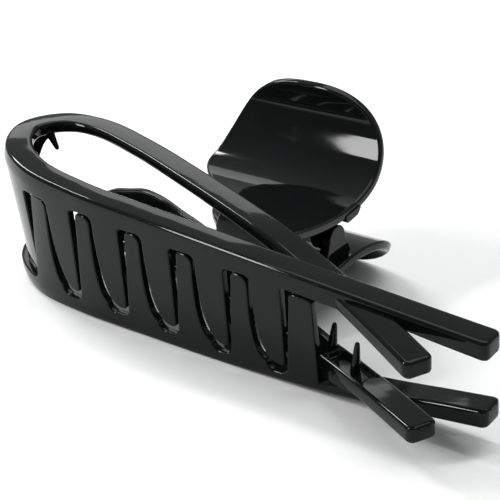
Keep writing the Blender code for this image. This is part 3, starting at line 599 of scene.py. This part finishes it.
def fillet(corners):
    """Closed outline from (x, y, radius) corners; each radius becomes an arc, 0 keeps the point."""
    points = []
    count = len(corners)
    for i, (x, y, radius) in enumerate(corners):
        here = np.array([x, y])
        before = np.array(corners[i - 1][:2]) - here
        after = np.array(corners[(i + 1) % count][:2]) - here
        a, b = np.linalg.norm(before), np.linalg.norm(after)
        if radius <= 0 or a < 1e-6 or b < 1e-6:
            points.append(here[None])
            continue
        before, after = before / a, after / b
        opening = math.acos(float(np.clip(before @ after, -1, 1)))
        if math.pi - opening < 0.05:
            points.append(here[None])
            continue
        free_a, free_b = (0.49 if corners[j % count][2] > 0 else 0.97 for j in (i - 1, i + 1))
        reach = min(radius / math.tan(opening / 2), free_a * a, free_b * b)
        radius = reach * math.tan(opening / 2)
        middle = (before + after) / np.linalg.norm(before + after)
        centre = here + middle * radius / math.sin(opening / 2)
        steps = max(3, math.ceil(math.degrees(math.pi - opening) / 10))
        share = np.linspace(0, 1, steps + 1)[:, None]
        start, stop = here + before * reach - centre, here + after * reach - centre
        sweep = math.pi - opening
        arc = (np.sin((1 - share) * sweep) * start + np.sin(share * sweep) * stop) / math.sin(sweep)
        points.append(centre + arc)
    return np.vstack(points)


def even_steps(outline, step):
    """The same closed outline with points added, so that no side is longer than step."""
    outline = np.asarray(outline, float)
    nxt = np.roll(outline, -1, axis=0)
    parts = np.maximum(1, np.ceil(np.linalg.norm(nxt - outline, axis=1) / step).astype(int))
    owner = np.repeat(np.arange(len(outline)), parts)
    first = np.concatenate([[0], np.cumsum(parts)[:-1]])
    share = ((np.arange(len(owner)) - first[owner]) / parts[owner])[:, None]
    points = outline[owner] * (1 - share) + nxt[owner] * share
    keep = np.linalg.norm(points - np.roll(points, 1, axis=0), axis=1) > 0.01
    return points[keep]


def inset(outline, distance):
    """The anticlockwise outline moved inwards: each point goes along the mean of its sides' normals."""
    side = np.roll(outline, -1, axis=0) - outline
    side /= np.linalg.norm(side, axis=1)[:, None]
    out = np.stack([side[:, 1], -side[:, 0]], axis=1)
    before = np.roll(out, 1, axis=0)
    mitre = (out + before) / np.maximum(1 + (out * before).sum(axis=1), 0.6)[:, None]
    return outline - mitre * distance


def inside_points(outline, step):
    """A staggered grid of points inside the outline, clear of its edge."""
    low, high = outline.min(axis=0), outline.max(axis=0)
    rows = np.arange(low[1] + step / 2, high[1], step * 0.87)
    columns = np.arange(low[0] + step / 2, high[0], step)
    grid_x, grid_y = np.meshgrid(columns, rows)
    grid_x = grid_x + (np.arange(len(rows)) % 2)[:, None] * step / 2
    points = np.stack([grid_x.ravel(), grid_y.ravel()], axis=1)
    a, b = outline, np.roll(outline, -1, axis=0)
    kept = []
    for batch in np.array_split(points, max(1, len(points) // 4000)):
        x, y = batch[:, :1], batch[:, 1:]
        spans = (a[:, 1] > y) != (b[:, 1] > y)
        rise = np.where(b[:, 1] == a[:, 1], 1.0, b[:, 1] - a[:, 1])
        crossing = x < (b[:, 0] - a[:, 0]) * (y - a[:, 1]) / rise + a[:, 0]
        inside = (spans & crossing).sum(axis=1) % 2 == 1
        clear = ((x - a[:, 0]) ** 2 + (y - a[:, 1]) ** 2).min(axis=1) > (0.6 * step) ** 2
        kept.append(batch[inside & clear])
    return np.vstack(kept)


def plate(outline, thick, edge, place, step=0.6, edge_steps=4):
    """Points and faces of a plate: place(u, v, w) bends it, w running through the thickness."""
    outline = even_steps(outline, step)
    nxt = np.roll(outline, -1, axis=0)
    if (outline[:, 0] * nxt[:, 1] - nxt[:, 0] * outline[:, 1]).sum() < 0:
        outline = outline[::-1]
    turn = np.radians(np.linspace(0.0, 90.0, edge_steps + 1))
    insets = list(edge * (1 - np.cos(turn))) + [edge + FACE_BORDER]
    heights = list(thick / 2 - edge + edge * np.sin(turn)) + [thick / 2]
    rings = [(inset(outline, d), -w) for d, w in zip(insets[::-1], heights[::-1])]
    rings += [(inset(outline, d), w) for d, w in zip(insets, heights)]
    count = len(outline)
    inner = inside_points(rings[0][0], step * 1.15)
    flat = np.vstack([rings[0][0], inner])
    cap, source = delaunay_2d_cdt([Vector(p) for p in flat.tolist()], [], [list(range(count))], 1, 1e-6)[2:4]
    lookup = np.array([own[0] for own in source])
    cap = lookup[np.array([face for face in cap if len(face) == 3])]
    u, v = np.vstack([r for r, _ in rings] + [inner, inner]).T
    w = np.concatenate([np.full(count, h) for _, h in rings]
                       + [np.full(len(inner), -thick / 2), np.full(len(inner), thick / 2)])
    points = place(u, v, w)
    ring_id = np.arange(len(rings) * count).reshape(len(rings), count)
    a, b, c = flat[cap[:, 0]], flat[cap[:, 1]], flat[cap[:, 2]]
    area = (b[:, 0] - a[:, 0]) * (c[:, 1] - a[:, 1]) - (b[:, 1] - a[:, 1]) * (c[:, 0] - a[:, 0])
    cap = np.where(area[:, None] < 0, cap[:, ::-1], cap)
    start_low = len(rings) * count
    start_high = start_low + len(inner)
    low = np.where(cap < count, cap, cap - count + start_low)[:, ::-1]
    high = np.where(cap < count, cap + (len(rings) - 1) * count, cap - count + start_high)
    faces = ring_quads(ring_id) + low.tolist() + high.tolist()
    probe = place(np.array([u[0], u[0] + 0.01, u[0], u[0]]), np.array([v[0], v[0], v[0] + 0.01, v[0]]),
                  np.array([0.0, 0.0, 0.0, 0.01]))
    if np.linalg.det(probe[1:] - probe[0]) < 0:
        faces = [face[::-1] for face in faces]
    return points, faces


print("plate builder ready")

# %% [markdown]
# The front wall hangs from the rail, flush with its outer side. The upper one is cut into six teeth like
# shark fins: a straight right side, and a left side that bulges and curves in to the tip. It goes on
# round the head, getting shallower, and ends under the far rail. The lower wall fills the slots between
# the teeth and rises again behind the loop. Each outline is drawn flat, in length along the ring and
# height, and the mapping bends it round the head, where it swells a little and then leans in.

# %% Walls with interlocking teeth
WALL_THICK = 1.5
WALL_EDGE = 0.28
UPPER_WALL_END, LOWER_WALL_END = 86.0, 80.3
LOWER_END_LEAN = 0.6
WALL_PROUD = 0.006
WALL_OUT = RAIL_WIDTH / 2 + WALL_PROUD - WALL_THICK / 2
HIDDEN_EDGE = 0.8
TOOTH_X = np.array([12.7, 25.7, 37.6, 49.5, 61.4, 73.4])
TOOTH_WIDTH = 6.2
TOOTH_POWER = 2.4
TIP_RADIUS = 1.0
TIP_Z = [-7.9, -7.9, -7.9, -8.1, -8.3, -8.5]
SLOT_BELOW_TOP = 3.5
FIRST_SLOT_LOWER = 0.8
LOWER_BELOW_TOP = 3.9
SLOT_CORNER, SLOT_ROOT_CORNER = 0.8, 1.4
LOWER_CORNER, LOWER_CORNER_LEFT = 1.6, 0.9
FLOOR_Z = [-9.3, -9.3, -9.3, -9.65, -9.95, -10.1]
FLOOR_CORNER, FLOOR_ROUND = 1.2, 1.7
GAP_AT_ROOT, GAP_GROWTH, GAP_POWER = 0.35, 1.75, 1.5
STRAIGHT_GAP_LOW, STRAIGHT_GAP_HIGH = 0.35, 1.7
TOP_ASIDE = 2.0
FIRST_TOOTH_LOW, FIRST_TOOTH_CORNER = -8.1, 0.9
UPPER_HEAD_EDGE = [(-10.4, FIRST_TOOTH_LOW), (-7.0, -8.2), (-3.2, -7.6), (-1.6, -5.6), (-0.7, -1.0),
                   (-0.2, 3.0), (0.2, 6.5), (0.8, 9.4), (1.8, 11.2), (3.6, 12.8)]
LOWER_BACK_EDGE = [(-11.0, -9.45), (-4.0, -9.5), (1.0, -9.5), (4.2, -8.6), (6.4, -5.8), (8.4, -2.4),
                   (11.0, -1.0), (14.1, -0.1), (19.8, 1.6), (23.1, 1.9), (26.9, 1.8), (32.2, 1.1),
                   (38.4, 0.6), (50.0, -1.6), (62.0, -4.0), (71.6, -5.65), (75.4, -6.0), (77.8, -6.4)]


def wall_place(upper):
    """Mapping for a wall: (length, height, out). It swells round the head like the rail."""
    sign = 1.0 if upper else -1.0

    def place(length, z, out):
        depth = np.clip(outer_face(length, upper) - sign * z, 0.0, None)
        away = (WALL_OUT + head_swell(length, depth, upper) + out)[:, None]
        return np.column_stack([ring_at(length) + ring_normal(length) * away, z])
    return place


def tooth_side(straight_x, root_z, tip_z, grow=0.0):
    """Swollen side of a tooth, root to tip: a superellipse quarter, moved out by grow at the root."""
    angle = np.radians(np.linspace(0.0, 90.0, 25))
    c = np.cos(angle).clip(0) ** (2 / TOOTH_POWER)
    s = np.sin(angle) ** (2 / TOOTH_POWER)
    away = grow * (1 - s)
    x = straight_x - TIP_RADIUS - (TOOTH_WIDTH - TIP_RADIUS + away) * c
    return np.stack([x, root_z - (root_z - tip_z + away) * s], axis=1)


def hidden_edge(marks, upper):
    """The wall's edge inside the rail, at marks along the ring."""
    sign = 1.0 if upper else -1.0
    lengths = [mark_length(mark) for mark in marks]
    return [(length, sign * (float(outer_face(length, upper)) - HIDDEN_EDGE), 0.0) for length in lengths]


def slot_height(x, below, slot=None):
    """Height on the front bar: the upper rail's top less a depth, and lower still at the first slot."""
    return float(ring_top(x)) - below - (FIRST_SLOT_LOWER if slot == 0 else 0.0)


def upper_wall_outline():
    """Corners from the tails along the teeth to the head, round it, and back inside the rail."""
    corners = [(front_length(UPPER_WALL_END), slot_height(UPPER_WALL_END, SLOT_BELOW_TOP), 0.5)]
    for k in range(5, -1, -1):
        straight = TOOTH_X[k]
        beyond = TOOTH_X[k + 1] if k < 5 else straight
        root_right = slot_height((straight + beyond) / 2, SLOT_BELOW_TOP, k)
        corners.append((front_length(straight), root_right, SLOT_CORNER))
        if k == 0:
            corners.append((front_length(straight), FIRST_TOOTH_LOW, FIRST_TOOTH_CORNER))
            continue
        corners.append((front_length(straight), TIP_Z[k], TIP_RADIUS))
        root_left = slot_height((straight + TOOTH_X[k - 1]) / 2, SLOT_BELOW_TOP, k - 1)
        side = tooth_side(straight, root_left, TIP_Z[k])[::-1]
        side = side[side[:, 1] < root_left - SLOT_ROOT_CORNER - 0.05]
        corners += [(front_length(x), z, 0.0) for x, z in side]
        corners.append((front_length(side[-1][0] - 0.02), root_left, SLOT_ROOT_CORNER))
    edge = smooth_through(np.array([(mark_length(m), z) for m, z in UPPER_HEAD_EDGE]), 6)
    corners += [(length, z, 0.0) for length, z in edge]
    corners += hidden_edge([3.6, 0.5, -0.5, -4.0, -12.0, -20.0, -30.0, -45.0, -60.0, -UPPER_WALL_END], True)
    return fillet(corners)


def lower_wall_outline():
    """The same for the lower jaw: pockets for the upper teeth, then the low band and the back wall."""
    corners = hidden_edge([-LOWER_WALL_END], False)
    end_x = LOWER_WALL_END - LOWER_END_LEAN
    corners.append((front_length(end_x), slot_height(end_x, LOWER_BELOW_TOP), 0.7))
    for k in range(5, -1, -1):
        straight = TOOTH_X[k]
        right_top = slot_height(straight + TOP_ASIDE, LOWER_BELOW_TOP, k)
        corners.append((front_length(straight + STRAIGHT_GAP_HIGH), right_top, LOWER_CORNER_LEFT))
        corners.append((front_length(straight + STRAIGHT_GAP_LOW), FLOOR_Z[k], FLOOR_CORNER))
        if k == 0:
            continue
        top_z = slot_height(straight - TOOTH_WIDTH, LOWER_BELOW_TOP, k - 1)
        root_z = slot_height(straight, SLOT_BELOW_TOP)
        side = tooth_side(straight, root_z, TIP_Z[k], GAP_AT_ROOT)
        share = np.clip((root_z - side[:, 1]) / (root_z - TIP_Z[k]), 0.0, None)
        side[:, 0] -= GAP_AT_ROOT + GAP_GROWTH * share ** GAP_POWER
        side = side[(side[:, 1] > FLOOR_Z[k] + FLOOR_ROUND) & (side[:, 1] < top_z - LOWER_CORNER - 0.05)]
        corner = side[-1][1] - FLOOR_Z[k]
        sweep = np.radians(np.linspace(270.0, 190.0, 7))
        corners += [(front_length(side[-1][0] + corner + corner * c), side[-1][1] + corner * s, 0.0)
                    for c, s in zip(np.cos(sweep), np.sin(sweep))]
        corners += [(front_length(x), z, 0.0) for x, z in side[::-1]]
        corners.append((front_length(side[0][0] - 0.02), top_z, LOWER_CORNER))
    edge = smooth_through(np.array([(mark_length(m), z) for m, z in LOWER_BACK_EDGE]), 6)
    corners += [(length, z, 0.0) for length, z in edge[:-1]]
    corners.append((edge[-1][0], edge[-1][1], 0.6))
    corners += hidden_edge([77.8, 60.0, 40.0, 20.0, 11.5, 4.0, 0.5, -0.5, -4.0, -12.0, -20.0, -30.0, -45.0,
                            -60.0, -70.0], False)
    return fillet(corners)


for label, corners, group in (("upper", upper_wall_outline(), UPPER),
                              ("lower", lower_wall_outline(), LOWER)):
    wall = plate(corners, WALL_THICK, WALL_EDGE, wall_place(label == "upper"))
    add_piece(label + "_tooth_wall", *wall, wall_plastic, *group)

# %% [markdown]
# The thumb pads are what one squeezes. Seen from the side, each is one line that slopes gently down from
# the rail, levels out in a valley, and turns up and back over like a breaking wave. A list of lengths
# and slopes describes that line, and a little smoothing makes its bending change gradually, so that
# reflections flow over it without a kink. From above, the pad's end is a superellipse, rounder than a
# rectangle and squarer than an ellipse, and its near side narrows to a neck.

# %% Thumb pads
UPPER_STRETCHES = [(12.0, -15.0), (12.2, -4.0), (8.1, 18.0), (8.2, 50.0), (8.1, 92.0), (3.6, 112.0)]
LOWER_STRETCHES = [(12.0, -10.0), (12.2, -4.0), (8.1, 14.0), (8.2, 40.0), (8.1, 74.0), (3.6, 90.0)]
PAD_START_Y = -11.5
PAD_VALLEY_Z = 5.6
PAD_THICK = 1.8
PAD_EDGE = 0.5
PAD_CENTRE_X = 47.6
PAD_LEFT_X = 29.1
UPPER_PAD_RIGHT_X, LOWER_PAD_RIGHT_X = 65.9, 66.8
PAD_MIDDLE = 31.5
UPPER_PAD_REACH, LOWER_PAD_REACH = 19.5, 18.0
ROUND_LEFT, ROUND_RIGHT = 2.75, 2.45
NECK_LEFT, NECK_RIGHT = 49.6, 66.6
NECK_OUT = 1.3


def pad_line(stretches, smooth=1.6):
    """Length, Y, Z and slope along the pad's outer face: slopes are averaged over a soft window."""
    step = 0.1
    knots = np.concatenate([[0.0], np.cumsum([length for length, _ in stretches])])
    slopes = np.radians([stretches[0][1]] + [slope for _, slope in stretches])
    length = np.arange(0.0, knots[-1] + step / 2, step)
    slope = np.interp(length, knots, slopes)
    reach = int(3 * smooth / step)
    window = np.exp(-0.5 * (np.arange(-reach, reach + 1) * step / smooth) ** 2)
    last = slope[-1] + (slope[-1] - slope[-2]) * np.arange(1, reach + 1)
    padded = np.concatenate([np.full(reach, slope[0]), slope, last])
    slope = np.convolve(padded, window / window.sum(), mode="valid")
    middle = (slope[1:] + slope[:-1]) / 2
    y = PAD_START_Y + np.concatenate([[0.0], np.cumsum(np.cos(middle) * step)])
    z = np.concatenate([[0.0], np.cumsum(np.sin(middle) * step)])
    return length, y, z - z.min() + PAD_VALLEY_Z, slope


def pad_outline(line, right_x, far_reach):
    """Far end round, left side easing into the neck, near side inside the bridge."""
    length, line_y, _, _ = line
    angle = np.radians(np.linspace(0.0, 180.0, 121))
    c, s = np.cos(angle), np.sin(angle)
    power = 2 / np.where(c > 0, ROUND_RIGHT, ROUND_LEFT)
    half = np.where(c > 0, right_x - PAD_CENTRE_X, PAD_CENTRE_X - PAD_LEFT_X)
    far = np.stack([PAD_CENTRE_X + half * np.sign(c) * np.abs(c) ** power,
                    PAD_MIDDLE + far_reach * np.abs(s) ** power], axis=1)
    neck_x = np.linspace(NECK_LEFT, NECK_RIGHT, 6)
    rail_y = np.interp(neck_x, ring[head_index:, 0], ring[head_index:, 1]) + NECK_OUT
    low = length < PAD_MIDDLE
    near_s = np.interp(rail_y, line_y[low], length[low])
    v = np.linspace(0.0, 0.9, 36)[1:]
    ease = smoothstep(v)
    left = np.stack([PAD_LEFT_X + (NECK_LEFT - PAD_LEFT_X) * ease,
                     PAD_MIDDLE + (near_s[0] - PAD_MIDDLE) * v], axis=1)
    right = np.stack([right_x + (NECK_RIGHT - right_x) * ease,
                      PAD_MIDDLE + (near_s[-1] - PAD_MIDDLE) * v], axis=1)[::-1]
    near = np.stack([neck_x, near_s], axis=1)
    corners = [(x, y, 0.0) for x, y in np.vstack([far, left])] + [(*near[0], 1.0)]
    corners += [(x, y, 0.0) for x, y in near[1:-1]] + [(*near[-1], 1.0)]
    return fillet(corners + [(x, y, 0.0) for x, y in right])


def pad_place(line, mirror):
    """Mapping for a pad: (X, length along the line, height above the plate's middle)."""
    length, line_y, line_z, slopes = line

    def place(x, s, w):
        slope = np.interp(s, length, slopes)
        away = w - PAD_THICK / 2
        y = np.interp(s, length, line_y) - np.sin(slope) * away
        z = np.interp(s, length, line_z) + np.cos(slope) * away
        return np.column_stack([x, y, mirror * z])
    return place


for label, stretches, right_x, far_reach, mirror, group in (
        ("upper", UPPER_STRETCHES, UPPER_PAD_RIGHT_X, UPPER_PAD_REACH, 1.0, UPPER),
        ("lower", LOWER_STRETCHES, LOWER_PAD_RIGHT_X, LOWER_PAD_REACH, -1.0, LOWER)):
    line = pad_line(stretches)
    outline = pad_outline(line, right_x, far_reach)
    shape = plate(outline, PAD_THICK, PAD_EDGE, pad_place(line, mirror), 0.7, 5)
    add_piece(label + "_thumb_pad", *shape, pad_plastic, *group)

# %% [markdown]
# Under the upper far rail a short plate, the bridge, ties the pad's neck to the rail. Its near end leans,
# and the lower edge is a soft curve that rises towards the tails. The lower jaw has its back wall there.

# %% Bridge between the upper rail and its pad
BRIDGE_EDGE = np.array([(48.9, 2.6), (51.0, 2.2), (58.0, 2.5), (63.0, 4.2), (67.5, 6.6)])
BRIDGE_SLANT = 0.56
BRIDGE_NEAR_END = 49.1
ROOT_DEPTH = 1.25


def bridge_outline():
    """Lower edge through the measured points, each moved towards the head as its depth asks."""
    root = outer_face(far_length(BRIDGE_EDGE[:, 0]), True) - ROOT_DEPTH
    fade = np.linspace(1.0, 0.0, len(BRIDGE_EDGE))
    marks = BRIDGE_EDGE[:, 0] - BRIDGE_SLANT * (root - BRIDGE_EDGE[:, 1]) * fade
    edge = smooth_through(np.stack([far_length(marks), BRIDGE_EDGE[:, 1]], axis=1), 8)
    corners = [(edge[0][0], edge[0][1], 0.6)]
    corners += [(length, z, 0.0) for length, z in edge[3:-3]]
    corners.append((edge[-1][0], edge[-1][1], 0.5))
    return fillet(corners + hidden_edge([BRIDGE_EDGE[-1, 0], BRIDGE_NEAR_END], True))


bridge = plate(bridge_outline(), WALL_THICK, WALL_EDGE, wall_place(True))
add_piece("upper_bridge", *bridge, wall_plastic, *UPPER)

# %% [markdown]
# Two arms reach from each pad to the hinge pin, the lower pair outside the upper pair. A
# small tab stands beside them below the upper pad's right edge.

# %% Hinge arms and tab
HINGE_X = 51.5
HINGE_Y = 11.5
LUG_RADIUS = 2.6
LUG_THICK = 2.0
UPPER_LUG_INNER, LOWER_LUG_INNER = 8.7, 11.1
TAB_X, TAB_THICK = 65.6, 1.3
FOOT_Z = PAD_VALLEY_Z - PAD_THICK / 2


def side_place(middle_x, mirror):
    """Mapping for a plate that stands across the clip: (Y, Z, distance along X)."""
    def place(y, z, w):
        return np.column_stack([middle_x + w, y, mirror * z])
    return place


def lug_outline():
    """A round end about the pin and two straight sides that widen to the pad."""
    angle = np.radians(np.linspace(180.0, 360.0, 25))
    corners = [(HINGE_Y + LUG_RADIUS * math.cos(a), LUG_RADIUS * math.sin(a), 0.0) for a in angle]
    corners += [(HINGE_Y + 4.5, FOOT_Z + 0.25, 0.4), (HINGE_Y - 4.5, FOOT_Z + 0.25, 0.4)]
    return fillet(corners)


for label, inner, mirror, group in (("upper", UPPER_LUG_INNER, 1.0, UPPER),
                                    ("lower", LOWER_LUG_INNER, -1.0, LOWER)):
    for side_name, side in (("left", -1.0), ("right", 1.0)):
        middle_x = HINGE_X + side * (inner + LUG_THICK / 2)
        shape = plate(lug_outline(), LUG_THICK, 0.25, side_place(middle_x, mirror), 0.5)
        add_piece(f"{label}_{side_name}_hinge_arm", *shape, bar_plastic, *group)

tab_outline = fillet([(12.3, FOOT_Z, 0.0), (12.3, 2.9, 0.9), (16.2, 3.3, 0.8), (18.0, FOOT_Z + 0.4, 0.6)])
tab = plate(tab_outline, TAB_THICK, 0.22, side_place(TAB_X, 1.0), 0.4)
add_piece("upper_side_tab", *tab, bar_plastic, *UPPER)

# %% [markdown]
# Where the front bar and the far rail cross, a flat web fills the sharp corner between the two tails. The
# lower one lies deeper, where it ties the bar to the rail.

# %% Webs between the tails
def web_place(middle, taper, sign):
    """Mapping for a web: (X, Y, height), on the slope of the ring."""
    def place(x, y, w):
        return np.column_stack([x, y, sign * (middle - taper * x + w)])
    return place


WEB_END = [(95.0, -17.0), (96.5, -19.0), (98.8, -21.0), (94.0, -21.0)]
UPPER_WEB = [(85.0, -18.0), (86.0, -16.0)] + WEB_END
LOWER_WEB = [(81.5, -17.9), (82.5, -14.6)] + WEB_END
UPPER_WEB_MIDDLE, LOWER_WEB_MIDDLE = 12.95, 12.8
WEB_THICK = 2.0
for name, outline, middle, taper, sign, group in (
        ("upper_tail_web", UPPER_WEB, UPPER_WEB_MIDDLE, TAPER, 1.0, UPPER),
        ("lower_tail_web", LOWER_WEB, LOWER_WEB_MIDDLE, LOWER_TAPER, -1.0, LOWER)):
    web = plate(fillet([(x, y, 0.6) for x, y in outline]), WEB_THICK, 0.3, web_place(middle, taper, sign))
    add_piece(name, *web, bar_plastic, *group)

# %% [markdown]
# Three small prongs help to hold hair: two on the lower jaw near the tails and one under the head. Each
# is a blunt cone, turned about its own line.

# %% Prongs
def prong(foot, tip, foot_radius=1.0, tip_radius=0.42):
    """A cone turned about the line from foot to tip, with a round tip: rings of points and two poles."""
    foot, tip = np.array(foot), np.array(tip)
    axis = tip - foot
    length = np.linalg.norm(axis)
    axis /= length
    across = np.cross(axis, [0.0, 1.0, 0.3])
    across /= np.linalg.norm(across)
    other = np.cross(axis, across)
    turn = np.radians(np.linspace(0.0, 80.0, 6))
    cone = [0.0, 0.3, 0.6, 0.9]
    height = np.concatenate([cone, 1.0 - tip_radius / length * (1 - np.sin(turn))])
    radius = np.concatenate([np.interp(cone, [0, 1], [foot_radius, tip_radius]), tip_radius * np.cos(turn)])
    angle = np.linspace(0.0, 2 * math.pi, 24, endpoint=False)
    circle = np.cos(angle)[:, None] * across + np.sin(angle)[:, None] * other
    rings = foot + axis * (height * length)[:, None, None] + circle[None] * radius[:, None, None]
    return closed_tube(rings, [foot, tip])


add_piece("lower_prong_1", *prong((78.9, -12.4, -7.4), (79.2, -11.4, -1.7)), wall_plastic, *LOWER)
add_piece("lower_prong_2", *prong((86.2, -16.4, -7.6), (86.7, -15.9, -0.9)), wall_plastic, *LOWER)
add_piece("upper_head_prong", *prong((1.6, 2.2, 13.0), (4.2, 1.6, 9.4)), wall_plastic, *UPPER)
